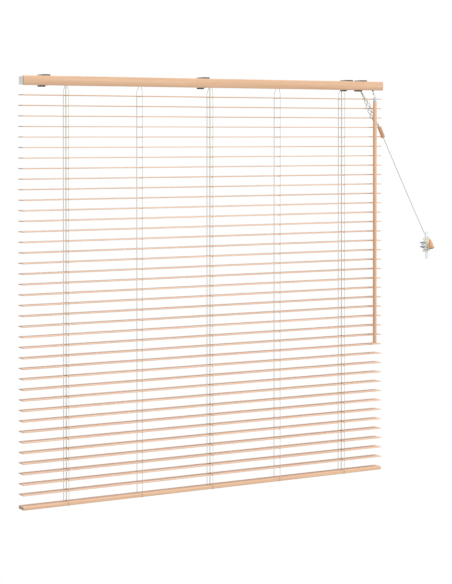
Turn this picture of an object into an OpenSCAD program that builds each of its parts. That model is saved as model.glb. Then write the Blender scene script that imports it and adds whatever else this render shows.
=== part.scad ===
// Venetian blind with wooden slats, a wand that tilts them and a cord that lifts them.
// X runs along the slats, +Y points at the wall and +Z up.
// The origin is the middle of the plane that the mounting brackets are screwed to.

/* [Slats] */
// Length of a slat
slat_l = 896; // [880:1:896]
// Depth of a slat, from its front edge to its back edge
slat_w = 25; // [24:0.5:25]
// Thickness of a slat
slat_t = 2; // [1.6:0.1:2.6]
// Distance from one slat down to the next
pitch = 21.7; // [21:0.1:22]
// Height of the first slat
first_slat_z = -42.7; // [-46:0.1:-42]
// Distance between neighbouring ladders
ladder_gap = 172.6; // [160:0.2:176]

/* [Head] */
// Length of the valance board
valance_l = 897; // [896:1:910]
// Height of the valance board
valance_h = 20; // [18:0.5:22]
// Thickness of the valance board at the middle of its height
valance_t = 4; // [3.5:0.1:5]
// Length of the headrail channel
rail_l = 889; // [883:1:890]
// Wall of the headrail channel
rail_wall = 0.8; // [0.6:0.1:0.9]

/* [Tilter] */
// Angle of the worm's shaft from the vertical
worm_lean = 20; // [18:1:21]
// Teeth of the worm wheel
wheel_teeth = 15; // [15:1:15]
// Length of the wand
wand_l = 554; // [400:1:700]
// Diameter of the wand
wand_d = 8.6; // [7:0.1:9]

/* [Bottom rail] */
// Thickness of the bottom rail
foot_t = 7.5; // [6:0.5:9]
// Height of the middle of the bottom rail
foot_z = -894; // [-895:0.5:-893]

/* [Cords] */
// Diameter of the lift cords and of the three strands under the cord lock
lift_d = 1.4; // [1.2:0.1:1.4]
// Diameter of the single pull cord
pull_d = 1.8; // [1.6:0.1:2]
// Diameter of the ladder cords
ladder_d = 0.9; // [0.7:0.1:0.9]

/* [Cleat] */
// Place of the cleat along X
cleat_x = 582.5; // [560:0.5:620]
// Height of the middle of the cleat
cleat_z = -384; // [-400:1:-380]

/* [Hidden] */
SLATS = 39;
SLAT_NAMES = [for (i = [1:SLATS]) str("slat_", i < 10 ? "0" : "", i)];
$fn = 48;
eps = 0.01;

WOOD = [0.91, 0.74, 0.59];
CORD = [0.86, 0.85, 0.80];
STEEL = [0.83, 0.85, 0.84];
DARK = [0.30, 0.26, 0.22];
NYLON = [0.93, 0.93, 0.90];
CLEAR = [0.82, 0.90, 0.97];

// Ladders, from left to right; the first, third and fifth also carry a lift cord.
ladder_x = [for (i = [-2:2]) i * ladder_gap];
lift_at = [0, 2, 4];
ladder_y = slat_w / 2 + ladder_d / 2 + 0.1;
slot_l = 14;
slot_w = 5;

// Head: the valance hangs 3 mm under the brackets' plane, and the channel lies behind it.
valance_z = -3;
valance_front = -18.5;
valance_bulge = 1.5;
rail_front = -13.5;
rail_back = 11;
rail_top = -4.5;
rail_bottom = -21.5;
rail_floor = rail_bottom + rail_wall;
rail_mid_y = (rail_front + rail_back) / 2;
rail_d = rail_back - rail_front;
cap_t = 2;
hole_l = 17.5;
hole_mid_y = -1.25;
hole_w = 10;

// Tilt rod, with a drum over each ladder
rod_z = -11.5;
rod_flats = 4;
rod_r = rod_flats / 2 / cos(30);
rod_left = ladder_x[0] - 14;
rod_right = 432.7;
drum_r = 6;
drum_l = 14;
hub_r = 3.5;
hub_l = 21;
cheek_x = 9;
cheek_t = 2;

// Worm and wheel: the worm's axis leaves the channel's floor at exit_y and leans forward.
tilter_x = 423.7;
exit_y = -11;
shaft_out = [0, -sin(worm_lean), -cos(worm_lean)];
away = [0, -cos(worm_lean), sin(worm_lean)];
mesh_gap = away * [0, exit_y, rail_bottom - rod_z];
mesh_at = [tilter_x, away.y * mesh_gap, rod_z + away.z * mesh_gap];
wheel_pitch_r = 4.5;
lead = 2 * PI * wheel_pitch_r / wheel_teeth;
wheel_root_r = 3.9;
wheel_tip_r = 4.65;
wheel_l = 3.2;
thread_r = 2.15;
thread_off = 0.35;
thread_l = 6;
// Distance along the worm's axis from the mesh down to a height
function down_to(z) = (mesh_at.z - z) / cos(worm_lean);
pivot_z = -30;
pivot = mesh_at + shaft_out * down_to(pivot_z);
ball_r = 0.9;
cup_r = 1.7;
wand_y = -20;
wand_top = -49;
sleeve_top = -39;
sleeve_r = 3.4;

// Cord lock and the pull cord's route
lock_x = 394.7;
lock_y = -7;
lock_left = 380.7;
lock_right = 406.7;
snout_z = -24.5;
lane_z = -18.8;
lift_lane = [-3, 3, 0];
lane_room = 9;
joiner_top = [438, -17, -106.5];
joiner_bottom = [449, -18, -131.5];
joiner_d = 8.7;
strand_spots = [[-0.9, 0.3], [0.9, 0.3], [0, -0.9]];
strand_a = [[393, -8, -29], [395.4, -12.6, -37], [398.5, -14, -45], [401, -14.3, -58],
    [408, -14.2, -71], [417, -14, -86], [427, -15, -95]];
strand_b = [[396, -8.5, -29], [398.3, -12.6, -37], [402, -14.6, -44], [410.5, -14.4, -52],
    [416.5, -14.4, -60], [423, -13.9, -76], [430.6, -14.3, -91.6]];
strand_c = [[394.9, -10.2, -30], [397.2, -13.3, -38], [400, -15.8, -47], [406.5, -14.8, -57],
    [411, -14.8, -68], [421, -14.4, -80], [429.5, -15.4, -93]];
pull_route = [[449.1, -18, -131.7], [452.5, -17.7, -138], [460.5, -17.1, -152.6], [477.5, -15.8, -183.8],
    [497.5, -14.2, -220.4], [517.5, -12.7, -256.6], [537.5, -11.2, -292.6], [557.5, -9.9, -328.4],
    [569.5, -9.1, -349.8], [575.5, -8.9, -360.3], [578.2, -8.8, -365.1]];
tail_route = [[580.9, -11.5, -376.5], [580.6, -11.5, -369.5], [580.6, -12.4, -366.5],
    [580.8, -15.1, -364.6], [581, -18, -365.9], [581.1, -19.2, -367.9], [581.5, -19.3, -369.7]];

// Cleat: a bar with two horns on a neck, held by two screws
wall_y = 11;
cleat_l = 64.5;
bar_w = 6.4;
bar_front = -7;
bar_t = 5;
neck_w = 6;
neck_l = 15.5;
base_w = 7;
base_l = 17;
base_t = 2;
screw_gap = 9.7;
screw_r = 1.5;
screw_tip = 21.5;
wrap_w = 19;
wrap_l = 36;
wrap_z = cleat_z + 1.5;
wrap_front = -10.5;
wrap_back = 6;
wrap_room = 0.35;
tassel_l = 21.7;
tassel_top = [581.5, -19.3, -369.8];
tassel_lean = 12;

bracket_x = [-395.5, -17.4, 358.3, 397];
bracket_w = 17.5;
plate_t = 1.2;
bracket_front = -13.6;
bracket_back = 12.6;
bracket_tail_z = -25.4;
hook_front = 2;
bracket_hole_r = 2.1;
bracket_hole_gap = 9;
bracket_hole_y = 4;
lever_t = 0.7;

function slat_z(i) = first_slat_z - pitch * i;
function unit(v) = v / norm(v);

// ---- Shapes used more than once ----

// A bar along X whose long edges are half round
module round_edged(length, depth, thick, edge_r) {
    rotate([90, 0, 90]) linear_extrude(length, center = true) {
        square([depth - 2 * edge_r, thick], center = true);
        square([depth, thick - 2 * edge_r + eps], center = true);
        for (y = [-1, 1], z = [-1, 1])
            translate([y * (depth / 2 - edge_r), z * (thick / 2 - edge_r)]) circle(edge_r);
    }
}

// A box from its low corner to its high corner
module block(low, high) {
    translate(low) cube(high - low);
}

// A tube swept along a route of points, with its ends square to the route
function heading(p, i) =
    let (a = i == 0 ? p[1] - p[0] : unit(p[i] - p[i - 1]),
         b = i == len(p) - 1 ? a : unit(p[i + 1] - p[i]))
    unit(unit(a) + b);
function across(d) = unit(cross(d, abs(d.x) < 0.9 ? [1, 0, 0] : [0, 1, 0]));
function carried(side, d) = unit(side - (side * d) * d);
function sides(p, i = 0, found = []) =
    i == len(p) ? found :
    let (d = heading(p, i), s = i == 0 ? across(d) : carried(found[i - 1], d))
    sides(p, i + 1, concat(found, [s]));

module swept(route, r, n = 8) {
    side = sides(route);
    points = [for (i = [0:len(route) - 1])
        let (d = heading(route, i), u = side[i], v = cross(d, u))
        for (k = [0:n - 1]) route[i] + r * (u * cos(360 * k / n) + v * sin(360 * k / n))];
    walls = [for (i = [0:len(route) - 2], k = [0:n - 1])
        [i * n + k, (i + 1) * n + k, (i + 1) * n + (k + 1) % n, i * n + (k + 1) % n]];
    ends = [[for (k = [0:n - 1]) k],
            [for (k = [n - 1:-1:0]) (len(route) - 1) * n + k]];
    polyhedron(points, concat(walls, ends), convexity = 10);
}

// ---- Slats and bottom rail ----

module lift_slot(x, z) {
    translate([x, 0, z]) {
        cube([slot_w, slot_l - slot_w, 2 * slat_t], center = true);
        for (y = [-1, 1])
            translate([0, y * (slot_l - slot_w) / 2, 0])
                cylinder(d = slot_w, h = 2 * slat_t, center = true);
    }
}

module slat(i) {
    color(WOOD) difference() {
        translate([0, 0, slat_z(i)]) round_edged(slat_l, slat_w, slat_t, 0.8);
        for (k = lift_at) lift_slot(ladder_x[k], slat_z(i));
    }
}

// The bottom rail, with a plug in its underside that holds each ladder's end
module bottom_rail() {
    plug_r = 4.5;
    plug_deep = 3;
    color(WOOD) difference() {
        translate([0, 0, foot_z]) round_edged(slat_l, slat_w, foot_t, 1.6);
        for (x = ladder_x)
            translate([x, 0, foot_z - foot_t / 2 - 1]) cylinder(r = plug_r + 0.1, h = plug_deep + 1.1);
        for (k = lift_at)
            translate([ladder_x[k], 0, foot_z - foot_t]) cylinder(r = 1.5, h = 2 * foot_t);
    }
    color(NYLON) for (x = ladder_x)
        translate([x, 0, foot_z - foot_t / 2 - 0.6]) {
            cylinder(r = plug_r, h = plug_deep + 0.5);
            cylinder(r = plug_r + 1.2, h = 0.55);
        }
}

// ---- Head ----

module headrail() {
    color(STEEL) difference() {
        block([-rail_l / 2, rail_front, rail_bottom], [rail_l / 2, rail_back, rail_top]);
        block([-rail_l / 2 - 1, rail_front + rail_wall, rail_floor],
              [rail_l / 2 + 1, rail_back - rail_wall, rail_top + 1]);
        for (x = ladder_x)
            translate([x, hole_mid_y, rail_bottom]) cube([hole_w, hole_l, 3], center = true);
        worm_line(2.3, down_to(rail_floor) - 1.5, down_to(rail_bottom) + 2);
        translate([lock_x, lock_y, rail_bottom - 1]) cylinder(r = 3.1, h = 3);
    }
}

module headrail_end_caps() {
    plug_deep = 3;
    color(STEEL) for (side = [-1, 1]) {
        translate([side * (rail_l / 2 + cap_t / 2 + 0.02), rail_mid_y, (rail_top + rail_bottom) / 2])
            cube([cap_t, rail_d, rail_top - rail_bottom], center = true);
        translate([side * (rail_l / 2 - plug_deep / 2 + 0.05), rail_mid_y, rail_floor + 6])
            cube([plug_deep + 0.1, rail_d - 2 * rail_wall - 0.3, 11.6], center = true);
    }
}

// The valance board has a slightly crowned front, and clips on the channel's front wall hold it.
module valance() {
    crown_r = (pow(valance_h / 2, 2) + pow(valance_bulge, 2)) / (2 * valance_bulge);
    mid_z = valance_z - valance_h / 2;
    color(WOOD) intersection() {
        translate([0, valance_front + valance_t / 2, mid_z])
            cube([valance_l, valance_t, valance_h], center = true);
        translate([0, valance_front + crown_r, mid_z])
            rotate([0, 90, 0]) cylinder(r = crown_r, h = valance_l + 2, center = true, $fn = 180);
    }
    clip_y = valance_front + valance_t + 0.02;
    color(NYLON) for (x = [-300, 60, 300])
        block([x - 10, clip_y, mid_z - 6], [x + 10, rail_front - 0.02, mid_z + 6]);
}

// Each bracket is a bent strip: a top plate, a back and a hook under the channel's rear edge.
// A turning lever under the top plate's front edge locks the channel in.
module mounting_brackets() {
    for (x = bracket_x) {
        left = x - bracket_w / 2;
        right = x + bracket_w / 2;
        under = rail_bottom - 0.2;
        lever_front = bracket_front - lever_t;
        color(STEEL) difference() {
            union() {
                block([left, bracket_front, -plate_t], [right, bracket_back, 0]);
                block([left, bracket_back - plate_t, bracket_tail_z], [right, bracket_back, 0]);
                block([left, hook_front, under - plate_t], [right, bracket_back, under]);
            }
            for (side = [-1, 1])
                translate([x + side * bracket_hole_gap / 2, bracket_hole_y, -2 * plate_t])
                    cylinder(r = bracket_hole_r, h = 3 * plate_t);
        }
        color(DARK) {
            block([left, lever_front, rail_top + 0.15], [right, -4, -plate_t - 0.05]);
            block([left, lever_front, -plate_t - 0.1], [right, bracket_front - 0.05, -0.1]);
        }
    }
}

// ---- Tilt drive inside the channel ----

// A straight length of the worm's axis, as a cylinder between two distances from the mesh
module worm_line(r, from, to) {
    translate(mesh_at) rotate([180 - worm_lean, 0, 0]) translate([0, 0, from]) cylinder(r = r, h = to - from);
}

module drum_cradles() {
    top = -6;
    color(NYLON) for (x = ladder_x) difference() {
        union() {
            block([x - 12, rail_front + rail_wall + 0.1, rail_floor + 0.02],
                  [x + 12, rail_back - rail_wall - 0.1, rail_floor + 0.9]);
            for (side = [-1, 1])
                translate([x + side * cheek_x, 0, (top + rail_floor) / 2])
                    cube([cheek_t, 15, top - rail_floor - 0.04], center = true);
        }
        translate([x, hole_mid_y, rail_floor]) cube([hole_w - 0.5, hole_l - 0.5, 4], center = true);
        translate([x, 0, rod_z]) rotate([0, 90, 0]) cylinder(r = hub_r + 0.06, h = 40, center = true);
        translate([x, 0, lane_z]) cube([40, lane_room, 2.2], center = true);
    }
}

module ladder_drums() {
    color(NYLON) for (x = ladder_x) translate([x, 0, rod_z]) rotate([0, 90, 0]) difference() {
        union() {
            cylinder(r = drum_r, h = drum_l, center = true);
            cylinder(r = hub_r, h = hub_l, center = true);
        }
        cylinder(r = rod_r + 0.05, h = hub_l + 2, center = true, $fn = 6);
    }
}

// The hexagonal rod, with the worm wheel pressed on near its right end
module tilt_rod() {
    color(STEEL) translate([(rod_left + rod_right) / 2, 0, rod_z]) rotate([0, 90, 0])
        cylinder(r = rod_r, h = rod_right - rod_left, center = true, $fn = 6);
    color(NYLON) translate([tilter_x, 0, rod_z]) rotate([0, 90, 0]) difference() {
        union() {
            cylinder(r = wheel_root_r, h = wheel_l, center = true);
            linear_extrude(wheel_l, center = true) for (k = [0:wheel_teeth - 1])
                rotate(270 - worm_lean + 360 * k / wheel_teeth) polygon([[3, -0.55], [wheel_root_r, -0.5],
                    [wheel_tip_r, -0.25], [wheel_tip_r, 0.25], [wheel_root_r, 0.5], [3, 0.55]]);
        }
        cylinder(r = rod_r + 0.05, h = wheel_l + 2, center = true, $fn = 6);
    }
}

// The worm, its shaft, the collar under the channel and the wire with the ball that the wand hangs from
module tilt_worm() {
    color(NYLON) {
        translate(mesh_at) rotate([180 - worm_lean, 0, 0]) rotate([0, 0, -180 * thread_l / lead])
            translate([0, 0, -thread_l / 2])
                linear_extrude(thread_l, twist = -360 * thread_l / lead, slices = 36)
                    translate([0, thread_off]) circle(thread_r, $fn = 14);
        worm_line(1.3, thread_l / 2 - 0.1, down_to(rail_bottom) + 0.5);
    }
    color(DARK) worm_line(1.8, down_to(rail_bottom) + 0.4, down_to(rail_bottom - 4.2));
    color(STEEL) {
        worm_line(0.5, down_to(rail_bottom - 4.2) - 0.1, down_to(pivot_z));
        translate(pivot) sphere(ball_r);
    }
}

module tilter_housing() {
    half = 10;
    color(NYLON) difference() {
        block([tilter_x - half, rail_front + rail_wall + 0.1, rail_floor + 0.02],
              [tilter_x + half, 7.5, rail_top - 0.2]);
        translate([tilter_x, 0, rod_z]) rotate([0, 90, 0]) {
            cylinder(r = wheel_tip_r + 0.4, h = wheel_l + 0.6, center = true);
            cylinder(r = rod_r + 0.25, h = 3 * half, center = true);
        }
        worm_line(2.9, -12, thread_l / 2 + 0.4);
        worm_line(1.5, 0, 16);
    }
}

// ---- Cord lock ----

module cord_lock() {
    top = rod_z - rod_r - 0.4;
    roller_x = 391;
    color(NYLON) difference() {
        union() {
            block([lock_left, -10.5, rail_floor + 0.02], [lock_right, 8, top]);
            translate([lock_x, lock_y, snout_z]) cylinder(r = 2.8, h = rail_floor - snout_z + 0.1);
        }
        block([roller_x - 3.4, -7, lane_z - 1.2], [roller_x + 3.4, 6, top + 1]);
        translate([lock_x, lock_y, snout_z + 1.6]) cylinder(r = 1.7, h = 10);
    }
    color(STEEL) translate([roller_x, -0.5, lane_z + 2.1]) rotate([90, 0, 0])
        cylinder(r = 1.9, h = 12.4, center = true);
}

// ---- Wand ----

module wand_connector() {
    stem_top = pivot.z - cup_r + 0.4;
    color(STEEL) {
        difference() {
            translate(pivot) sphere(cup_r);
            translate(pivot) sphere(ball_r + 0.2);
            // The slot that the worm's wire passes along when the wand swings forward
            translate(pivot) rotate([90, 0, 90]) linear_extrude(1.5, center = true)
                polygon([[0, -0.2], [2.6, 1.2], [1.8, 3], [-3, 3], [-3, -0.2]]);
        }
        swept([[pivot.x, pivot.y - 0.4, stem_top], [pivot.x, pivot.y - 0.9, stem_top - 1.5],
               [pivot.x, wand_y + 0.6, sleeve_top + 2.2], [pivot.x, wand_y, sleeve_top + 0.6],
               [pivot.x, wand_y, sleeve_top - 1]], 0.6);
    }
    color(CLEAR) difference() {
        translate([tilter_x, wand_y, wand_top + 0.05]) cylinder(r = sleeve_r, h = sleeve_top - wand_top);
        translate([tilter_x, wand_y, wand_top - 1]) cylinder(r = 2.4, h = 5);
    }
}

module wand() {
    tip = 1.2;
    color(WOOD) translate([tilter_x, wand_y, wand_top - wand_l]) {
        cylinder(d1 = wand_d - 2 * tip, d2 = wand_d, h = tip);
        translate([0, 0, tip - eps]) cylinder(d = wand_d, h = wand_l - tip);
        cylinder(r = 2.2, h = wand_l + 3.6);
    }
}

// ---- Cords that the blind holds ----

module ladder_cords(side) {
    floor_y = side < 0 ? -9 : 5.5;
    color(CORD) for (x = ladder_x)
        swept([[x, side * (drum_r + 0.5), rod_z], [x, side * (drum_r + 0.5), rod_z - 4],
               [x, floor_y, rail_bottom], [x, floor_y, rail_bottom - 2],
               [x, side * (ladder_y - 1), rail_bottom - 9], [x, side * ladder_y, rail_bottom - 12],
               [x, side * ladder_y, foot_z]], ladder_d / 2);
}

module ladder_front_cords() ladder_cords(-1);

module ladder_back_cords() ladder_cords(1);

// Each lift cord rises through the slats, turns over its cradle and runs along the channel to the lock.
module lift_cords() {
    bend = 3;
    color(CORD) for (k = [0:2]) {
        x = ladder_x[lift_at[k]];
        y = lift_lane[k];
        swept([[x, 0, foot_z + foot_t / 2 + 0.2], [x, 0, lane_z - bend],
               [x + 0.3 * bend, 0, lane_z - 0.3 * bend], [x + bend, 0, lane_z],
               [x + 14, y, lane_z], [lock_left - 0.05, y, lane_z]], lift_d / 2);
    }
}

// ---- The pull cord and what is on it ----

module pull_cord() {
    color(CORD) {
        for (k = [0:2]) {
            spot = strand_spots[k];
            route = [strand_a, strand_b, strand_c][k];
            start = [lock_x + spot.x, lock_y + spot.y, snout_z - 0.05];
            last = joiner_top + [spot.x, spot.y, 0.7];
            swept(concat([start, start - [0, 0, 1.5]], route, [last]), lift_d / 2 - 0.05);
        }
        swept(pull_route, pull_d / 2);
        swept(tail_route, pull_d / 2);
    }
}

module cord_joiner() {
    reach = joiner_bottom - joiner_top;
    long = norm(reach);
    color(WOOD) translate(joiner_top)
        rotate([0, acos(reach.z / long), atan2(reach.y, reach.x)]) {
            cylinder(d1 = joiner_d - 2, d2 = joiner_d, h = 1);
            translate([0, 0, 1 - eps]) cylinder(d = joiner_d, h = long - 2 + 2 * eps);
            translate([0, 0, long - 1]) cylinder(d1 = joiner_d, d2 = joiner_d - 2, h = 1);
        }
}

// The cleat's own solid, drawn with some room around it or with none
module cleat_shape(room = 0) {
    bar_back = bar_front + bar_t;
    horn_l = cleat_l - bar_w;
    translate([cleat_x, 0, cleat_z]) {
        block([-bar_w / 2 - room, bar_front - room, -horn_l / 2],
              [bar_w / 2 + room, bar_back + room, horn_l / 2]);
        for (z = [-1, 1])
            translate([0, bar_front - room, z * horn_l / 2]) rotate([-90, 0, 0])
                cylinder(r = bar_w / 2 + room, h = bar_t + 2 * room);
        block([-neck_w / 2 - room, bar_front, -neck_l / 2 - room],
              [neck_w / 2 + room, wall_y - 0.5, neck_l / 2 + room]);
        block([-base_w / 2, wall_y - base_t - room, -base_l / 2], [base_w / 2, wall_y, base_l / 2]);
    }
}

module cord_cleat() {
    head_r = 2.6;
    head_t = 1.5;
    color(CLEAR) difference() {
        cleat_shape();
        for (side = [-1, 1])
            translate([cleat_x, bar_front, cleat_z + side * screw_gap / 2]) rotate([-90, 0, 0]) {
                translate([0, 0, -1]) cylinder(r = screw_r + 0.15, h = 30);
                translate([0, 0, -1]) cylinder(r = head_r + 0.2, h = head_t + 1.1);
            }
    }
    color(DARK) for (side = [-1, 1])
        translate([cleat_x, bar_front, cleat_z + side * screw_gap / 2]) rotate([-90, 0, 0]) {
            cylinder(r = head_r, h = head_t);
            cylinder(r = screw_r, h = screw_tip - bar_front - 3);
            translate([0, 0, screw_tip - bar_front - 3 - eps]) cylinder(r1 = screw_r, r2 = 0.3, h = 3);
        }
}

// The outer shape of the figure of eight that the pull cord makes on the cleat
module cord_wrap() {
    straight = wrap_l - wrap_w;
    color(CORD) difference() {
        translate([cleat_x, wrap_front, wrap_z]) rotate([-90, 0, 0]) linear_extrude(wrap_back - wrap_front) {
            square([wrap_w, straight], center = true);
            for (z = [-1, 1]) translate([0, z * straight / 2]) circle(wrap_w / 2);
        }
        cleat_shape(wrap_room);
    }
}

module tassel() {
    color(WOOD) translate(tassel_top) rotate([0, 180 - tassel_lean, 0]) rotate_extrude()
        polygon([[0, 0], [1.8, 0], [2.7, 1.3], [3.7, 4.5], [4.9, 9], [5.9, 13.5], [6.5, 17], [6.45, 19.4],
                 [5.8, 21], [4.6, tassel_l], [0, tassel_l]]);
}

for (i = [0:SLATS - 1]) slat(i);
bottom_rail();
headrail();
headrail_end_caps();
valance();
mounting_brackets();
drum_cradles();
ladder_drums();
tilt_rod();
tilt_worm();
tilter_housing();
cord_lock();
wand_connector();
wand();
ladder_front_cords();
ladder_back_cords();
lift_cords();
pull_cord();
cord_wrap();
cord_joiner();
cord_cleat();
tassel();
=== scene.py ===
from math import ceil, cos, hypot, pi, radians, sin, tan

import bmesh
import bpy
from mathutils import Matrix, Vector
from mathutils.geometry import tessellate_polygon


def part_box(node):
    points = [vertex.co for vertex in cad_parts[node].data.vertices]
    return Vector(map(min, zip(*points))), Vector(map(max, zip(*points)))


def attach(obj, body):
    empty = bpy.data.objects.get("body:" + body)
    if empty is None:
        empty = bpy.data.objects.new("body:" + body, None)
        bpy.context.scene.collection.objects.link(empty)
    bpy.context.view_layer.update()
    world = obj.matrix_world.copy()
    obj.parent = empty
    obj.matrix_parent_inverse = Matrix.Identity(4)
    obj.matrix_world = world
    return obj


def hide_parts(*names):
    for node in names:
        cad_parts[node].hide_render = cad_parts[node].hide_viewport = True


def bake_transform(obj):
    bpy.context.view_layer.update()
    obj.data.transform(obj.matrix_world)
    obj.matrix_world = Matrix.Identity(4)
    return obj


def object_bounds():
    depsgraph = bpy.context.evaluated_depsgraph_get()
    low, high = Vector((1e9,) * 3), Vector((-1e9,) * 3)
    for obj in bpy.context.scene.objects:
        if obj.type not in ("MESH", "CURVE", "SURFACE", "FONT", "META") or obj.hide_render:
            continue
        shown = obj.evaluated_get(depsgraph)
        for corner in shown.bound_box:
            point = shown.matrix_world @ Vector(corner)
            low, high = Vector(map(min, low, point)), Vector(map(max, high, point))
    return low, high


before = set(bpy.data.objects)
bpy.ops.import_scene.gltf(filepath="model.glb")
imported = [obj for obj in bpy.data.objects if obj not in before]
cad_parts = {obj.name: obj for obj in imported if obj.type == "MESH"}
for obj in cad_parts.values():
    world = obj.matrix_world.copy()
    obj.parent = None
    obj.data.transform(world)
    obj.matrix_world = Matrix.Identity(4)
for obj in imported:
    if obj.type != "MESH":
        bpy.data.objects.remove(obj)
cad_low_m, cad_high_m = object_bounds()
MM = 0.001
TURN = 2 * pi


def box(node):
    """Lowest and highest corner of a CAD node, in millimetres."""
    low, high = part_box(node)
    return low / MM, high / MM


def placed(name, data):
    """A new object in the scene."""
    made = bpy.data.objects.new(name, data)
    bpy.context.scene.collection.objects.link(made)
    return made


# ---- Sizes and places, from the frame ----

SLATS = sorted(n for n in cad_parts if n.startswith("slat_"))
slat_low, slat_high = box(SLATS[0])
SLAT_L = slat_high.x - slat_low.x
SLAT_W = slat_high.y - slat_low.y
SLAT_T = slat_high.z - slat_low.z
slat_z = {name: sum(corner.z for corner in box(name)) / 2 for name in SLATS}
FIRST_Z = slat_z[SLATS[0]]

FOOT_T = 7.5
FOOT_Z = box("bottom_rail")[1].z - FOOT_T / 2
LADDER_R = 0.45
front_low, front_high = box("ladder_front_cords")
ladder_first, ladder_last = front_low.x + LADDER_R, front_high.x - LADDER_R
LADDER_X = [ladder_first + (ladder_last - ladder_first) * i / 4 for i in range(5)]
LADDER_Y = -front_low.y - LADDER_R
LIFT_X = LADDER_X[::2]

rail_low, rail_high = box("headrail")
board_low, board_high = box("valance")
ROD_Z = -11.5
DRUM_R = 6
wand_low, wand_high = box("wand")
wand_axis = (wand_low + wand_high) / 2
WAND_R = (wand_high.x - wand_low.x) / 2
joiner_low, joiner_high = box("cord_joiner")
cleat_low, cleat_high = box("cord_cleat")
CLEAT_X = (cleat_low.x + cleat_high.x) / 2
CLEAT_Z = (cleat_low.z + cleat_high.z) / 2

# The worm's leaning axis: where it leaves the channel, its collar's ends and the ball under the wire
WORM_LEAN = radians(20)
WORM_EXIT = Vector((wand_axis.x, -11.0, -21.5))
COLLAR_TOP_Z, COLLAR_LOW_Z = -21.9, -25.7
BALL_Z = -30


def worm_at(z):
    """The point of the worm's leaning axis at a height."""
    return Vector((WORM_EXIT.x, WORM_EXIT.y + (z - WORM_EXIT.z) * tan(WORM_LEAN), z))


# ---- The photograph's view ----

def add_camera():
    """A camera 30 degrees to the left and almost level, framed by a lens shift."""
    data = bpy.data.cameras.new("camera")
    data.lens = 108.259
    data.sensor_width = 36
    data.shift_y = -0.2286
    data.clip_end = 100
    camera = placed("camera", data)
    camera.location = (-1.89345, -3.3335, -0.1265)
    camera.rotation_euler = (radians(90 - 0.75), 0, radians(-30.121))
    bpy.context.scene.camera = camera


# ---- Mesh tools ----

def smooth(route, step):
    """Points about every step along a smooth curve through the route's points."""
    points = [Vector(p) for p in route]
    points = [2 * points[0] - points[1], *points, 2 * points[-1] - points[-2]]
    found = []
    for a, b, c, d in zip(points, points[1:], points[2:], points[3:]):
        count = max(1, ceil((c - b).length / step))
        for i in range(count):
            t = i / count
            found.append(0.5 * (2 * b + (c - a) * t + (2 * a - 5 * b + 4 * c - d) * t * t
                                + (3 * b - a - 3 * c + d) * t ** 3))
    return [*found, points[-2]]


def tube(route, radius, sides=10):
    """Corners, faces and face coordinates of a round tube; radius is one number or one for each point."""
    route = [Vector(p) for p in route]
    radii = radius if isinstance(radius, list) else [radius] * len(route)
    headings = [(b - a).normalized() for a, b in zip(route, route[1:])]
    tangents = [headings[0], *[(a + b).normalized() for a, b in zip(headings, headings[1:])], headings[-1]]
    side = tangents[0].orthogonal().normalized()
    corners, faces, along, run = [], [], [], 0.0
    for i, (point, tangent) in enumerate(zip(route, tangents)):
        side = (side - tangent * side.dot(tangent)).normalized()
        up = tangent.cross(side)
        corners += [point + radii[i] * (side * cos(TURN * k / sides) + up * sin(TURN * k / sides))
                    for k in range(sides)]
    for i in range(len(route) - 1):
        step = (route[i + 1] - route[i]).length / (2 * radii[i])
        for k in range(sides):
            low, high = i * sides, (i + 1) * sides
            faces.append([low + k, low + (k + 1) % sides, high + (k + 1) % sides, high + k])
            left, right = k / sides, (k + 1) / sides
            along.append([(run, left), (run, right), (run + step, right), (run + step, left)])
        run += step
    faces += [list(range(sides))[::-1], list(range(len(corners) - sides, len(corners)))]
    along += [[(0, 0)] * sides] * 2
    return corners, faces, along


def lathe(profile, sides=32, place=None, hollow=False):
    """Corners and faces of a round shape: (radius, height) points up its outside, and back if hollow."""
    corners, faces, rings = [], [], []
    for radius, height in profile:
        if radius < 1e-6:
            rings.append([len(corners)])
            corners.append(Vector((0, 0, height)))
        else:
            rings.append(list(range(len(corners), len(corners) + sides)))
            corners += [Vector((radius * cos(TURN * k / sides), radius * sin(TURN * k / sides), height))
                        for k in range(sides)]
    pairs = list(zip(rings, rings[1:])) + ([(rings[-1], rings[0])] if hollow else [])
    for low, high in pairs:
        for k in range(sides):
            quad = [low[k % len(low)], low[(k + 1) % len(low)],
                    high[(k + 1) % len(high)], high[k % len(high)]]
            face = [c for i, c in enumerate(quad) if c not in quad[:i]]
            if len(face) > 2:
                faces.append(face)
    if place:
        corners = [place @ c for c in corners]
    return corners, faces


def axis_place(start, end):
    """A matrix that puts a lathe's bottom at start and points its height at end."""
    reach = Vector(end) - Vector(start)
    return Matrix.Translation(Vector(start)) @ reach.to_track_quat("Z", "Y").to_matrix().to_4x4()


def arc(centre, radius, first, last, steps=6):
    """Points of an arc in a plane, with its angles in degrees."""
    angles = [radians(first + (last - first) * i / steps) for i in range(steps + 1)]
    return [(centre[0] + radius * cos(a), centre[1] + radius * sin(a)) for a in angles]


def rounded(half_x, half_y, radius, centre=(0, 0), steps=6):
    """The outline of a rectangle with round corners, anticlockwise."""
    points = []
    for sx, sy, first in ((1, 1, 0), (-1, 1, 90), (-1, -1, 180), (1, -1, 270)):
        middle = (centre[0] + sx * (half_x - radius), centre[1] + sy * (half_y - radius))
        points += arc(middle, radius, first, first + 90, steps)
    return points


def inset(ring, depth):
    """A ring of points moved towards its left side, which is inside when it runs anticlockwise."""
    moved = []
    for i, point in enumerate(ring):
        before, after = Vector(ring[i - 1]), Vector(ring[(i + 1) % len(ring)])
        point = Vector(point)
        a, b = (point - before).normalized(), (after - point).normalized()
        normal = Vector((-a.y - b.y, a.x + b.x)).normalized()
        share = max(0.5, normal.dot(Vector((-a.y, a.x))))
        moved.append(point + normal * depth / share)
    return moved


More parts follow.
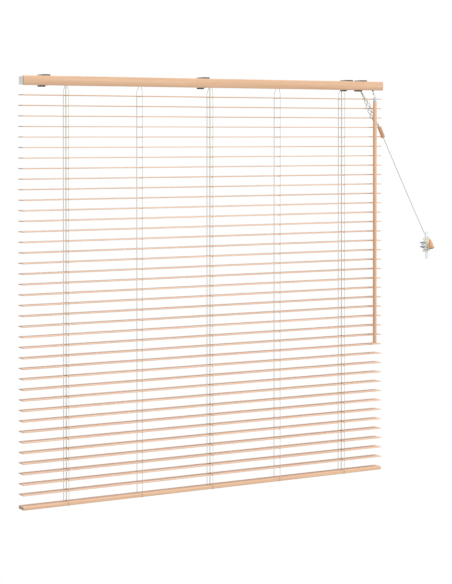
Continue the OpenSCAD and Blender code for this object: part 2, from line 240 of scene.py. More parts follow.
def plate(outline, holes, thick, edge, steps=3):
    """Corners and faces of a flat plate with rounded edges: the outline anticlockwise, holes clockwise."""
    rings = [outline, *holes]
    quarter = [pi / 2 * i / steps for i in range(steps + 1)]
    levels = [(edge * (1 - sin(a)), thick / 2 - edge + edge * cos(a)) for a in quarter]
    levels += [(depth, -height) for depth, height in levels[::-1]]
    corners, faces, caps = [], [], []
    for ring in rings:
        start, count = len(corners), len(ring)
        for depth, height in levels:
            corners += [Vector((p.x, p.y, height)) for p in inset(ring, depth)]
        for level in range(len(levels) - 1):
            high, low = start + level * count, start + (level + 1) * count
            for k in range(count):
                following = (k + 1) % count
                faces.append([low + k, low + following, high + following, high + k])
        caps.append((start, start + (len(levels) - 1) * count, count))
    for pick, flip in ((0, False), (1, True)):
        index = [cap[pick] + k for cap in caps for k in range(cap[2])]
        loops = [[corners[cap[pick] + k] for k in range(cap[2])] for cap in caps]
        for triangle in tessellate_polygon(loops):
            a, b, c = (corners[index[i]] for i in triangle)
            upward = (b - a).cross(c - a).z > 0
            face = [index[i] for i in triangle]
            faces.append(face[::-1] if upward == flip else face)
    return corners, faces


def bar(profile, left, right, bevel=0.4):
    """Corners and faces of a bar along X; its (y, z) profile runs anticlockwise as seen from +X."""
    sections = [(left, bevel), (left + bevel, 0), (right - bevel, 0), (right, bevel)]
    count, corners, faces = len(profile), [], []
    for x, depth in sections:
        corners += [Vector((x, p.x, p.y)) for p in inset(profile, depth)]
    for i in range(len(sections) - 1):
        for k in range(count):
            low, high, following = i * count, (i + 1) * count, (k + 1) % count
            faces.append([low + k, high + k, high + following, low + following][::-1])
    faces.append(list(range(count))[::-1])
    faces.append(list(range(len(corners) - count, len(corners))))
    return corners, faces


def block(low, high, edge=0.3):
    """Corners and faces of a box with rounded edges, from its low corner to its high corner."""
    low, high = Vector(low), Vector(high)
    half, middle = (high - low) / 2, (high + low) / 2
    corner_r = min(0.8, half.x * 0.4, half.y * 0.4)
    outline = rounded(half.x, half.y, corner_r, steps=3)
    corners, faces = plate(outline, [], 2 * half.z, min(edge, half.z * 0.9), 2)
    return [c + middle for c in corners], faces


class Shape:
    """A mesh in the making, in millimetres."""

    def __init__(self):
        self.corners, self.faces, self.finish, self.along = [], [], [], []

    def add(self, made, finish=0, place=None):
        """Adds what a mesh tool returned, with the number of one of the piece's finishes."""
        corners, faces, *rest = made
        start = len(self.corners)
        self.corners += [place @ c for c in corners] if place else list(corners)
        self.faces += [[start + c for c in face] for face in faces]
        self.finish += [finish] * len(faces)
        self.along += rest[0] if rest else [[(0, 0)] * len(face) for face in faces]
        return self

    def piece(self, name, body, slot, finishes, replaces=(), sharp=40, end_finish=None):
        """The finished piece; end_finish is for its faces square to X."""
        mesh = bpy.data.meshes.new(name)
        mesh.from_pydata([tuple(c * MM) for c in self.corners], [], self.faces)
        layer = mesh.uv_layers.new(name="along")
        layer.data.foreach_set("uv", [x for face in self.along for corner in face for x in corner])
        mesh.polygons.foreach_set("material_index", self.finish)
        if end_finish is not None:
            for face in mesh.polygons:
                if abs(face.normal.x) > 0.9:
                    face.material_index = end_finish
        return as_piece(mesh, name, body, finishes, replaces, sharp)


def as_piece(mesh, name, body, finishes, replaces=(), sharp=40):
    """An object for a finished mesh, riding on a body unless body is None."""
    for face in mesh.polygons:
        face.use_smooth = True
    mesh.set_sharp_from_angle(angle=radians(sharp))
    for finish in finishes:
        mesh.materials.append(finish)
    made = placed(name, mesh)
    if body:
        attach(made, body)
    if replaces:
        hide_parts(*replaces)
    return made


def islands(bm):
    """The sets of joined corners in a mesh."""
    waiting, found = set(bm.verts), []
    while waiting:
        island, fresh = set(), [waiting.pop()]
        while fresh:
            vert = fresh.pop()
            island.add(vert)
            others = {edge.other_vert(vert) for edge in vert.link_edges} & waiting
            waiting -= others
            fresh += others
        found.append(island)
    return found


def softened(name, node, body, finishes, width=0.25, choose=None, paint=None):
    """A CAD node's solids with rounded edges: choose, told a solid's lowest height, keeps or drops it,
    and paint gives a face its finish."""
    bm = bmesh.new()
    bm.from_mesh(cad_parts[node].data)
    bmesh.ops.remove_doubles(bm, verts=bm.verts, dist=1e-6)
    if choose:
        dropped = [v for island in islands(bm) if not choose(min(v.co.z for v in island) / MM)
                   for v in island]
        bmesh.ops.delete(bm, geom=dropped, context="VERTS")
    bmesh.ops.dissolve_limit(bm, angle_limit=radians(1), verts=bm.verts, edges=bm.edges)
    sharp = [e for e in bm.edges if len(e.link_faces) == 2 and e.calc_face_angle(0) > radians(30)]
    bmesh.ops.bevel(bm, geom=sharp, offset=width * MM, segments=2, profile=0.5, affect="EDGES",
                    clamp_overlap=True)
    mesh = bpy.data.meshes.new(name)
    bm.to_mesh(mesh)
    bm.free()
    if paint:
        for face in mesh.polygons:
            face.material_index = paint(face.center / MM, face.normal)
    return as_piece(mesh, name, body, finishes, [node])


def cut(shape, cutter):
    """The shape with the cutter's volume taken out of it."""
    parts = []
    for part in (shape, cutter):
        mesh = bpy.data.meshes.new("cut")
        mesh.from_pydata([tuple(c) for c in part.corners], [], part.faces)
        parts.append(placed("cut", mesh))
    modifier = parts[0].modifiers.new("cut", "BOOLEAN")
    modifier.object, modifier.operation, modifier.solver = parts[1], "DIFFERENCE", "EXACT"
    bpy.context.view_layer.update()
    mesh = bpy.data.meshes.new_from_object(parts[0].evaluated_get(bpy.context.evaluated_depsgraph_get()))
    for part in parts:
        bpy.data.objects.remove(part)
    made = Shape()
    made.add(([v.co.copy() for v in mesh.vertices], [list(p.vertices) for p in mesh.polygons]))
    return made


# ---- Materials ----

class Finish:
    """A procedural material in the making."""

    def __init__(self, name, roughness=0.5, metallic=0.0, **sockets):
        self.material = bpy.data.materials.new(name)
        self.material.use_nodes = True
        self.tree = self.material.node_tree
        self.shader = self.tree.nodes["Principled BSDF"]
        self.set(roughness=roughness, metallic=metallic, **sockets)

    def set(self, **sockets):
        """Constants on the shader's sockets, named as in coat_weight."""
        for name, value in sockets.items():
            self.shader.inputs[name.replace("_", " ").title().replace("Ior", "IOR")].default_value = value

    def feed(self, socket, value):
        """Gives a socket a constant or another node's output."""
        if isinstance(value, bpy.types.NodeSocket):
            self.tree.links.new(value, socket)
        else:
            socket.default_value = value

    def node(self, kind, inputs=None, **settings):
        """A new node, with its inputs fed and its other settings made."""
        made = self.tree.nodes.new(kind)
        for name, value in settings.items():
            setattr(made, name, value)
        for name, value in (inputs or {}).items():
            self.feed(made.inputs[name], value)
        return made

    def link(self, output, name):
        """Leads a node's output to one of the shader's sockets."""
        self.tree.links.new(output, self.shader.inputs[name])

    def place(self, scale, turn=(0, 0, 0)):
        """Object coordinates, in metres, stretched by a scale."""
        where = self.node("ShaderNodeTexCoord").outputs["Object"]
        made = self.node("ShaderNodeMapping", {"Vector": where, "Scale": scale, "Rotation": turn})
        return made.outputs["Vector"]

    def noise(self, scale, detail=4.0, roughness=0.55, distortion=0.0):
        """Cloudy noise; scale is how many clouds there are to the metre along X, Y and Z."""
        return self.node("ShaderNodeTexNoise", {
            "Vector": self.place(scale), "Scale": 1.0, "Detail": detail, "Roughness": roughness,
            "Distortion": distortion}).outputs["Fac"]

    def ramp(self, value, stops):
        """Colours for a value, from (place, colour) stops."""
        made = self.node("ShaderNodeValToRGB", {"Fac": value})
        elements = made.color_ramp.elements
        while len(elements) < len(stops):
            elements.new(0.5)
        for element, (place, colour) in zip(elements, stops):
            element.position, element.color = place, (*colour, 1)
        return made.outputs["Color"]

    def mix(self, factor, a, b, blend="MIX"):
        """Two colours mixed by a factor."""
        made = self.node("ShaderNodeMix", data_type="RGBA", blend_type=blend)
        for index, value in ((0, factor), (6, a), (7, b)):
            self.feed(made.inputs[index], value)
        return made.outputs[2]

    def math(self, operation, a, b=0.0):
        """The result of an operation on one or two values."""
        made = self.node("ShaderNodeMath", operation=operation)
        for socket, value in zip(made.inputs, (a, b)):
            self.feed(socket, value)
        return made.outputs[0]

    def between(self, value, low, high, start=0.0, stop=1.0):
        """A value that runs from start to stop, made to run from low to high."""
        made = self.node("ShaderNodeMapRange", {
            "Value": value, "From Min": start, "From Max": stop, "To Min": low, "To Max": high})
        return made.outputs["Result"]

    def bump(self, height, strength, depth):
        """A fine relief of that depth, in millimetres."""
        made = self.node("ShaderNodeBump", {"Height": height, "Strength": strength, "Distance": depth * MM})
        self.link(made.outputs["Normal"], "Normal")


def wood(name, pale, deep, grain="x", roughness=0.42, board=46.0):
    """Lacquered wood: streaks along the grain, fine pores and a tone that drifts; board is how fast."""
    finish = Finish(name, coat_weight=0.22, coat_roughness=0.28, specular_ior_level=0.4)
    across = {"x": lambda long, wide: (long, wide, wide), "z": lambda long, wide: (wide, wide, long)}[grain]
    streaks = finish.noise(across(9, 620), 5, 0.6, 0.4)
    bands = finish.noise(across(2.2, 150), 3, 0.5, 0.8)
    pores = finish.noise(across(45, 2600), 2, 0.5)
    tone = finish.noise(across(0.5, board), 1, 0.4)
    fine, broad = finish.math("MULTIPLY", streaks, 0.55), finish.math("MULTIPLY", bands, 0.45)
    middle = tuple((a + b) / 2 for a, b in zip(pale, deep))
    colour = finish.ramp(finish.math("ADD", fine, broad), [(0.36, deep), (0.5, middle), (0.62, pale)])
    pore = finish.ramp(pores, [(0.30, (0.72, 0.66, 0.62)), (0.42, (1, 1, 1))])
    shade = finish.ramp(tone, [(0.3, (0.90, 0.88, 0.86)), (0.7, (1.0, 1.0, 1.0))])
    colour = finish.mix(0.35, colour, pore, "MULTIPLY")
    finish.link(finish.mix(0.8, colour, shade, "MULTIPLY"), "Base Color")
    finish.link(finish.between(streaks, roughness - 0.08, roughness + 0.12), "Roughness")
    finish.bump(finish.math("ADD", streaks, finish.math("MULTIPLY", pores, 0.4)), 0.35, 0.12)
    return finish.material


def end_grain(name, pale, deep):
    """The sawn end of a board: darker and matt, with close growth rings."""
    finish = Finish(name, specular_ior_level=0.3)
    fibres = finish.noise((900, 900, 900), 3, 0.6)
    where = finish.place((40, 260, 160), (0.5, 0, 0))
    inputs = {"Vector": where, "Scale": 1.0, "Distortion": 3.0, "Detail": 2.0}
    wave = finish.node("ShaderNodeTexWave", inputs, wave_type="BANDS", bands_direction="Z")
    colour = finish.ramp(wave.outputs["Fac"], [(0.2, deep), (0.8, pale)])
    specks = finish.ramp(fibres, [(0.35, (0.75, 0.7, 0.66)), (0.6, (1, 1, 1))])
    finish.link(finish.mix(0.6, colour, specks, "MULTIPLY"), "Base Color")
    finish.link(finish.between(fibres, 0.55, 0.75), "Roughness")
    finish.bump(fibres, 0.4, 0.1)
    return finish.material


# Heights between which the pull cord's paler painted light round the cleat fades in, in metres
CLEAT_PAINTED_LIGHT_FROM_M = (-0.350, -0.364)


def braid(name, pale, deep, cleat_painted_light=None):
    """Braided cord: crossing bundles of yarn; the last argument gives a paler pale and deep tone, painted
    on the cord round the cleat as painted light.
    """
    bundles, pitch = 4, 2.2
    finish = Finish(name, roughness=0.85, sheen_weight=0.35, sheen_roughness=0.5, specular_ior_level=0.2)
    where = finish.node("ShaderNodeUVMap", uv_map="along").outputs["UV"]
    parts = finish.node("ShaderNodeSeparateXYZ", {"Vector": where}).outputs
    run = finish.math("MULTIPLY", parts["X"], TURN / pitch)
    turn = finish.math("MULTIPLY", parts["Y"], TURN * bundles / 2)
    left = finish.math("SINE", finish.math("ADD", run, turn))
    right = finish.math("SINE", finish.math("SUBTRACT", run, turn))
    weave = finish.between(finish.math("MULTIPLY", left, right), 0.0, 1.0, start=-1.0)
    fibres = finish.noise((2600, 2600, 2600), 3, 0.6)
    soil = finish.noise((60, 60, 60), 2, 0.5)
    colour = finish.ramp(weave, [(0.05, deep), (0.5, pale)])
    if cleat_painted_light:
        height = finish.node("ShaderNodeSeparateXYZ", {"Vector": finish.place((1, 1, 1))}).outputs["Z"]
        # How much of the paler painted light round the cleat is mixed in, by height.
        fresh = finish.between(height, 0.0, 1.0, *CLEAT_PAINTED_LIGHT_FROM_M)
        colour = finish.mix(fresh, colour, finish.ramp(weave, [(0.05, cleat_painted_light[1]), (0.5, cleat_painted_light[0])]))
    worn = finish.ramp(soil, [(0.35, (0.90, 0.88, 0.84)), (0.65, (1, 1, 1))])
    colour = finish.mix(0.7, colour, worn, "MULTIPLY")
    fluff = finish.ramp(fibres, [(0.3, (0.86, 0.86, 0.84)), (0.6, (1, 1, 1))])
    finish.link(finish.mix(0.5, colour, fluff, "MULTIPLY"), "Base Color")
    finish.bump(finish.math("ADD", weave, finish.math("MULTIPLY", fibres, 0.3)), 0.7, 0.18)
    return finish.material


def moulded(name, colour, shade, roughness):
    """Moulded plastic or paint: a fine skin, a faint change of tone and soft wear."""
    finish = Finish(name)
    cloud = finish.noise((70, 70, 70), 3, 0.5)
    skin = finish.noise((700, 700, 700), 2, 0.5)
    finish.link(finish.ramp(cloud, [(0.3, shade), (0.7, colour)]), "Base Color")
    finish.link(finish.between(skin, roughness - 0.08, roughness + 0.1), "Roughness")
    finish.bump(skin, 0.25, 0.06)
    return finish.material


def metal(name, colour, shade, roughness, brushed=(4000, 4000, 60)):
    """Plated or bare metal with rolling marks along one way and dull patches."""
    finish = Finish(name, metallic=1.0)
    marks = finish.noise(brushed, 3, 0.6)
    patches = finish.noise((120, 120, 120), 3, 0.6)
    finish.link(finish.ramp(patches, [(0.35, shade), (0.65, colour)]), "Base Color")
    finish.link(finish.between(marks, roughness - 0.1, roughness + 0.15), "Roughness")
    finish.bump(marks, 0.2, 0.03)
    return finish.material


def clear(name, colour, shade, through, ior):
    """Clear moulded plastic, a little milky, with flow lines."""
    finish = Finish(name, transmission_weight=through, ior=ior)
    flow = finish.noise((90, 90, 30), 3, 0.5, 0.6)
    skin = finish.noise((500, 500, 500), 2, 0.5)
    finish.link(finish.ramp(flow, [(0.3, shade), (0.7, colour)]), "Base Color")
    finish.link(finish.between(skin, 0.12, 0.28), "Roughness")
    finish.bump(skin, 0.12, 0.05)
    return finish.material


SLAT_WOOD = wood("slat_wood", (0.93, 0.66, 0.46), (0.78, 0.51, 0.35))
VALANCE_WOOD = wood("valance_wood", (0.87, 0.575, 0.37), (0.75, 0.46, 0.28), board=90)
WAND_WOOD = wood("wand_wood", (0.92, 0.60, 0.38), (0.78, 0.47, 0.28), "z", board=60)
JOINER_WOOD = wood("joiner_wood", (0.78, 0.46, 0.28), (0.60, 0.33, 0.18), "z", board=60)
TURNED_WOOD = wood("turned_wood", (0.92, 0.57, 0.33), (0.76, 0.44, 0.23), "z", board=60)
END_GRAIN = end_grain("end_grain", (0.62, 0.44, 0.32), (0.46, 0.32, 0.23))
# Painted shade: near-black end grain for the tassel's downward-facing foot rim, where shade falls.
PAINTED_SHADE_GRAIN = end_grain("painted_shade_grain", (0.16, 0.09, 0.06), (0.09, 0.05, 0.035))
CHANNEL = moulded("channel_paint", (0.93, 0.96, 0.945), (0.86, 0.89, 0.875), 0.35)
CAP = moulded("cap_plastic", (0.93, 0.96, 0.945), (0.86, 0.89, 0.875), 0.5)
NYLON = moulded("white_nylon", (0.82, 0.82, 0.78), (0.74, 0.74, 0.70), 0.5)
DARK_NYLON = moulded("dark_nylon", (0.055, 0.045, 0.035), (0.035, 0.028, 0.022), 0.45)
BRACKET_DARK = moulded("bracket_brown", (0.15, 0.10, 0.06), (0.10, 0.064, 0.038), 0.4)
BRACKET_STEEL = moulded("bracket_zinc", (0.66, 0.66, 0.63), (0.55, 0.55, 0.53), 0.35)
ROD_STEEL = metal("rod_steel", (0.60, 0.60, 0.60), (0.48, 0.48, 0.48), 0.35, (60, 4000, 4000))
WIRE_STEEL = metal("wire_steel", (0.36, 0.37, 0.40), (0.26, 0.27, 0.30), 0.35)
SCREW_STEEL = metal("screw_steel", (0.16, 0.18, 0.24), (0.10, 0.11, 0.16), 0.4)
CLEAR_SLEEVE = clear("connector_clear", (0.74, 0.87, 1.0), (0.66, 0.82, 0.98), 0.3, 1.3)
CLEAT_CLEAR = clear("cleat_clear", (0.92, 0.96, 1.0), (0.86, 0.93, 1.0), 0.7, 1.12)
LADDER_CORD = braid("ladder_cord", (0.66, 0.63, 0.47), (0.52, 0.50, 0.37))
# Painted shade: a darker copy of the ladder cord for the back ladder strings, for the shade behind the
# slats.
SHADED_CORD = braid("ladder_cord_shaded", (0.21, 0.20, 0.15), (0.15, 0.145, 0.105))
LIFT_CORD = braid("lift_cord", (0.50, 0.455, 0.32), (0.39, 0.355, 0.25))
STRAND_CORD = braid("strand_cord", (0.55, 0.53, 0.42), (0.36, 0.34, 0.26))
# Painted light and shade: the pull cord is painted paler round the cleat than along its straight run, one
# cord in a lit and a shaded tone.
PULL_CORD = braid("pull_cord", (0.70, 0.69, 0.58), (0.50, 0.49, 0.41),
                  cleat_painted_light=((1.0, 0.97, 0.80), (0.93, 0.88, 0.68)))


# ---- The pull cord, made first ----

LOCK = (394.7, -7, -24.5)
STRAND_D = 1.4
# Where the strands lie beside each other, and how far they reach into the lock and the joiner
STRAND_SPOTS = [(-0.9, 0.3), (0.9, 0.3), (0, -0.9)]
IN_LOCK, IN_JOINER = 1.2, 0.8
# The strands' loose twist, from the lock down to the joiner: (x, y, z) of its middle and half its width
TWIST = [(396.8, -13.4, -37, 2.0), (400.4, -15.0, -45, 4.0), (405.2, -15, -52, 5.8),
         (409.2, -14.8, -60, 6.7), (413, -14.4, -68, 6.6), (417, -14.1, -76, 6.3), (422.6, -14.1, -86, 5.4),
         (427, -14.0, -92, 4.8), (431, -14.7, -97.5, 4.0), (435.2, -16.3, -103, 2.4)]
# Half the twist's depth: the strands pass between the slats' front edges and the wand.
TWIST_DEPTH = 0.85
TWIST_PITCH = 33
JOINER_TOP = (438, -17, -106.5)
JOINER_BOTTOM = (449, -18, -131.5)
PULL_D = 1.8
# Inside the joiner's bore
PULL_START = (448.4, -17.95, -130.2)
PULL_ROUTE = [(449.1, -18, -131.7), (452.5, -17.7, -138), (460.5, -17.1, -152.6), (477.5, -15.8, -183.8),
              (497.5, -14.2, -220.4), (517.5, -12.7, -256.6), (537.5, -11.2, -292.6), (557.5, -9.9, -328.4),
              (569.5, -9.1, -349.8), (575, -8.7, -360.2)]
TAIL_ROUTE = [(580.9, -12, -376.5), (580.6, -11.9, -369.5), (580.6, -12.6, -366.5),
              (580.8, -15.1, -364.6), (581, -18, -365.9), (581.1, -19.2, -367.9), (581.5, -19.3, -369.7)]
TASSEL_TOP = (581.5, -19.3, -369.8)
TASSEL_LEAN = radians(12)
TASSEL_L = 21.7
HORN_MIDDLE_Y = -4.5


def winding():
    """The figure of eight round the cleat's two horns: nearly four turns, each outside the last."""
    first_turn, last_turn, steps = 0.17, 3.72, 24
    middle_z = CLEAT_Z + 1.5
    points = []
    for i in range(int((last_turn - first_turn) * steps) + 1):
        turn = first_turn + i / steps
        angle = TURN * turn
        reach_x = 5.2 + 1.25 * turn
        reach_z = 10.4 + 1.75 * turn
        fan = (1.5 * turn - 2.8) * sin(angle) ** 4
        swing = cos(2 * angle)
        depth = 4.6 + 0.5 * turn if swing > 0 else 4.4 + 0.85 * turn
        height = reach_z * (abs(cos(angle)) ** 0.8) * (1 if cos(angle) > 0 else -1) + fan
        across = reach_x * sin(2 * angle)
        points.append((CLEAT_X - across, HORN_MIDDLE_Y + depth * swing, middle_z + height))
    return points


def twisted(number):
    """One strand's points: two turns round the twist's middle, a third of a turn from its neighbours."""
    points = []
    for place in smooth(TWIST, 3.5):
        angle = TURN * ((TWIST[0][2] - place.z) / TWIST_PITCH + (2 - number) / 3)
        points.append((place.x + place.w * sin(angle), place.y - TWIST_DEPTH * cos(angle), place.z))
    return points


def make_cords():
    """The three strands under the cord lock, the joiner, the pull cord on its cleat and the tassel."""
    joiner = make_joiner()
    tassel = make_tassel()
    for number, spot in enumerate(STRAND_SPOTS):
        start = Vector(LOCK) + Vector((*spot, IN_LOCK))
        end = Vector(JOINER_TOP) + Vector((*spot, -IN_JOINER))
        path = smooth([start, start - Vector((0, 0, 3)), *twisted(number), end], 1.0)
        strand = Shape().add(tube(path, STRAND_D / 2, 10)).piece(
            f"strand_{number + 1}", "root", "pull_cord", [STRAND_CORD], ["pull_cord"])
    path = smooth([PULL_START, *PULL_ROUTE, *winding(), *TAIL_ROUTE], 1.2)
    pull = Shape().add(tube(path, PULL_D / 2, 12)).piece(
        "pull_cord_main", "root", "pull_cord", [PULL_CORD], ["pull_cord", "cord_wrap"])


def make_joiner():
    """A turned barrel that joins the three strands to the single cord, bored at both ends."""
    long = (Vector(JOINER_BOTTOM) - Vector(JOINER_TOP)).length
    # The barrel leans, so half its box is a little more than its radius.
    outer = (joiner_high.y - joiner_low.y) / 2 * 0.985
    waist, bore = outer - 0.25, 2.4
    upper = [(0, bore), (1.5, bore), (2.1, 0.5), (2.6, 0.1), (3.3, 0), (outer - 0.35, 0.5), (outer, 1.5),
             (outer, 3.2), (outer - 0.3, 3.5), (waist, 4.0)]
    lower = [(waist, long - 4.0), (outer - 0.3, long - 3.5), (outer, long - 3.2), (outer, long - 1.5),
             (outer - 0.35, long - 0.5), (3.0, long), (1.8, long - 0.1), (1.3, long - 0.6),
             (1.1, long - bore), (0, long - bore)]
    return Shape().add(lathe([*upper, *lower], 40, axis_place(JOINER_TOP, JOINER_BOTTOM))).piece(
        "cord_joiner_barrel", "root", "turned_wood", [JOINER_WOOD], ["cord_joiner"])


def make_tassel():
    """A turned tassel: a slim neck, a swelling body with two grooves and a hollow foot whose rim is painted
    near-black, as painted shade.
    """
    neck = [(0, 0.9), (1.0, 0.9), (1.1, 0.1), (1.6, 0), (2.0, 0.25), (2.5, 1.0), (3.0, 2.5), (3.6, 4.4),
            (4.3, 6.7), (4.45, 7.1)]
    body = [(4.35, 7.4), (4.6, 7.7), (4.95, 9.2), (5.5, 11.6), (5.95, 13.9), (6.4, 16.4), (6.5, 17.3),
            (6.38, 17.55), (6.5, 17.8), (6.4, 19.4), (6.05, 20.6), (5.5, 21.4)]
    foot = [(4.8, TASSEL_L), (3.6, TASSEL_L - 0.1), (3.0, TASSEL_L - 0.8), (1.8, TASSEL_L - 1.2),
            (0, TASSEL_L - 1.2)]
    # The tassel's last 1.9 mm, at its foot, is painted near-black as painted shade.
    painted_shade_rim = 1.9
    down = Vector((sin(TASSEL_LEAN), 0, -cos(TASSEL_LEAN)))
    end = Vector(TASSEL_TOP) + TASSEL_L * down
    shape = Shape().add(lathe([*neck, *body, *foot], 48, axis_place(TASSEL_TOP, end)))
    for i, face in enumerate(shape.faces):
        middle = sum((shape.corners[c] for c in face), Vector()) / len(face)
        shape.finish[i] = int((end - middle).dot(down) < painted_shade_rim)
    return shape.piece("tassel_turned", "root", "turned_wood", [TURNED_WOOD, PAINTED_SHADE_GRAIN], ["tassel"])


# ---- Slats, ladders and bottom rail ----

def lift_slot(x, half_l=7.0, half_w=2.5):
    """The outline of a lift cord's slot, clockwise."""
    return rounded(half_w, half_l, half_w, (x, 0))[::-1]


def rungs(z):
    """Two threads under a slat at each ladder, from its front cord to its back cord."""
    made = []
    thread_r, apart = 0.28, 0.75
    under = z - SLAT_T / 2 - 0.3
    for x in LADDER_X:
        for side in (-1, 1):
            front = [(x + side * 0.1, -LADDER_Y, z), (x + side * apart * 0.6, 0.5 - LADDER_Y, z - 0.8),
                     (x + side * apart, 2.2 - LADDER_Y, under)]
            back = [(across, -depth, height) for across, depth, height in front[::-1]]
            made.append(tube([*front, *back], thread_r, 6))
    return made


def make_slats():
    """Each slat is a thin board with round edges and a slot for each lift cord, and lies on its rungs."""
    outline = rounded(SLAT_L / 2, SLAT_W / 2, 1.6)
    corners, faces = plate(outline, [lift_slot(x) for x in LIFT_X], SLAT_T, 0.85, 4)
    for name in SLATS:
        z = slat_z[name]
        Shape().add((corners, faces), place=Matrix.Translation((0, 0, z))).piece(
            name + "_board", name, "slat_wood", [SLAT_WOOD, END_GRAIN], [name], end_finish=1)
        shape = Shape()
        for rung in rungs(z):
            shape.add(rung)
        shape.piece(name + "_rungs", name, "ladder_cord", [LADDER_CORD])


def ladder_string(x, y):
    """A ladder cord from the first slat down to the bottom rail, thicker where each rung is woven in."""
    knot_half, knot_r = 1.6, LADDER_R * 1.35
    points, radii = [], []
    for name in SLATS:
        z = slat_z[name]
        points += [(x, y, z + knot_half), (x, y, z), (x, y, z - knot_half)]
        radii += [LADDER_R, knot_r, LADDER_R]
    return tube([*points[1:], (x, y, FOOT_Z)], [*radii[1:], LADDER_R], 8)


# Under the channel, where the ladders start to widen
FLARE_Z = -24


def make_ladders():
    """The ladders' cords: fixed at the drums, bending to the first slat, then moving with the slats."""
    on_drum = DRUM_R + 0.5
    tops, flares = Shape(), Shape()
    # The back strings take the darker painted-shade copy of the ladder cord.
    for side, name, hole_y, finish in ((-1, "front", -9.0, LADDER_CORD), (1, "back", 5.5, SHADED_CORD)):
        strings = Shape()
        y = side * LADDER_Y
        for x in LADDER_X:
            strings.add(ladder_string(x, y))
            turned = [(x + a / 100, side * on_drum * cos(radians(a)), ROD_Z + on_drum * sin(radians(a)))
                      for a in (90, 60, 30, 0)]
            top = [*turned, (x, side * on_drum, ROD_Z - 4), (x, hole_y, -20.5), (x, hole_y, FLARE_Z)]
            tops.add(tube(smooth(top, 1.5), LADDER_R, 8))
            flare = [(x, hole_y, FLARE_Z + 0.1), (x, hole_y + side * 0.6, -26),
                     (x, side * (LADDER_Y - 1.2), -31.5), (x, y, -36), (x, y, FIRST_Z)]
            flares.add(tube(smooth(flare, 1.2), LADDER_R, 8))
        strings.piece(f"ladder_{name}_strings", f"ladder_{name}", "ladder_cord", [finish],
                      [f"ladder_{name}_cords"])
    tops.piece("ladder_tops", "root", "ladder_cord", [LADDER_CORD])
    blended = flares.piece("ladder_flares", None, "ladder_cord", [LADDER_CORD])
    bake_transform(blended)


def make_lift_cords():
    """The three lift cords, up through the slats and along the channel to the lock."""
    lane_z, lanes, bend, step, cord_r = -18.8, (-3, 3, 0), 3.0, 40, 0.7
    lock_left = box("cord_lock")[0].x
    shape = Shape()
    for x, y in zip(LIFT_X, lanes):
        corner = [(x, 0, lane_z - bend), (x + 0.3 * bend, 0, lane_z - 0.3 * bend), (x + bend, 0, lane_z)]
        upright = [(x, 0, FOOT_Z + step * i) for i in range(int((lane_z - FOOT_Z) / step))]
        route = [*upright, *corner, (x + 14, y, lane_z), (lock_left + 4, y, lane_z)]
        shape.add(tube(smooth(route, step / 2), cord_r, 8))
    shape.piece("lift_cord_runs", "root", "lift_cord", [LIFT_CORD], ["lift_cords"])


def make_bottom_rail():
    """The thick bottom rail, its cord plugs and the ladder ends that run under it into the plugs."""
    bore_r = 1.6
    clockwise = [-TURN * k / 16 for k in range(16)]
    holes = [[(x + bore_r * cos(a), bore_r * sin(a)) for a in clockwise] for x in LIFT_X]
    board = plate(rounded(SLAT_L / 2, SLAT_W / 2, 1.8), holes, FOOT_T, 1.7, 5)
    Shape().add(board, place=Matrix.Translation((0, 0, FOOT_Z))).piece(
        "bottom_rail_board", "bottom_rail", "rail_wood", [VALANCE_WOOD, END_GRAIN], ["bottom_rail"],
        end_finish=1)
    plugs, ends = Shape(), Shape()
    under = FOOT_Z - FOOT_T / 2
    plug = [(0, 0.05), (1.1, 0.05), (1.5, -0.3), (3.6, -0.3), (4.2, -0.55), (5.0, -0.55), (5.6, -0.3),
            (5.7, 0), (5.7, 0.4), (0, 0.4)]
    for x in LADDER_X:
        plugs.add(lathe([(r, under + h) for r, h in plug], 36, Matrix.Translation((x, 0, 0))))
        for side in (-1, 1):
            route = [(LADDER_Y, FOOT_Z), (LADDER_Y, FOOT_Z - 2.2), (LADDER_Y - 0.6, under - 0.1),
                     (LADDER_Y - 2.5, under - 0.45), (6.0, under - 0.45), (4.6, under - 0.6)]
            ends.add(tube(smooth([(x, side * y, z) for y, z in route], 0.8), LADDER_R, 8))
    plugs.piece("bottom_rail_plugs", "bottom_rail", "white_nylon", [NYLON], ["bottom_rail"])
    ends.piece("ladder_ends", "bottom_rail", "ladder_cord", [LADDER_CORD])


# ---- Head ----

def make_valance():
    """The valance board: a crowned front, eased edges and sawn ends, held by three clips."""
    back, front = -14.5, board_low.y
    top, low = board_high.z, board_low.z
    mid = (top + low) / 2
    bulge, edge = 1.5, 0.7
    rise = (top - low) / 2 - edge
    crown = [(front + bulge * t * t, mid - rise * t) for t in [i / 7 for i in range(-7, 8)]]
    shoulder = front + bulge
    profile = [*crown, (shoulder + 0.25, low + 0.2), (shoulder + 0.7, low), (back - 0.5, low),
               (back - 0.15, low + 0.15), (back, low + 0.5), (back, top - 0.5), (back - 0.15, top - 0.15),
               (back - 0.5, top), (shoulder + 0.7, top), (shoulder + 0.25, top - 0.2)]
    Shape().add(bar(profile, board_low.x, board_high.x, 0.5)).piece(
        "valance_board", "root", "valance_wood", [VALANCE_WOOD, END_GRAIN], ["valance"], end_finish=1)
    clips = Shape()
    clip_front = back + 0.02
    for x in (-300, 60, 300):
        clips.add(block((x - 10, clip_front, mid - 6), (x + 10, rail_low.y - 0.02, mid + 6), 0.2))
        for lip in (mid - 5.2, mid + 3.8):
            clips.add(block((x - 8, clip_front, lip), (x + 8, rail_low.y - 0.3, lip + 1.4), 0.2))
    clips.piece("valance_clips", "root", "white_nylon", [NYLON], ["valance"])


def drill(radius, reach):
    """A cylinder that reaches as far to each side, to cut a round hole with."""
    return lathe([(0, -reach), (radius, -reach), (radius, reach), (0, reach)], 28)


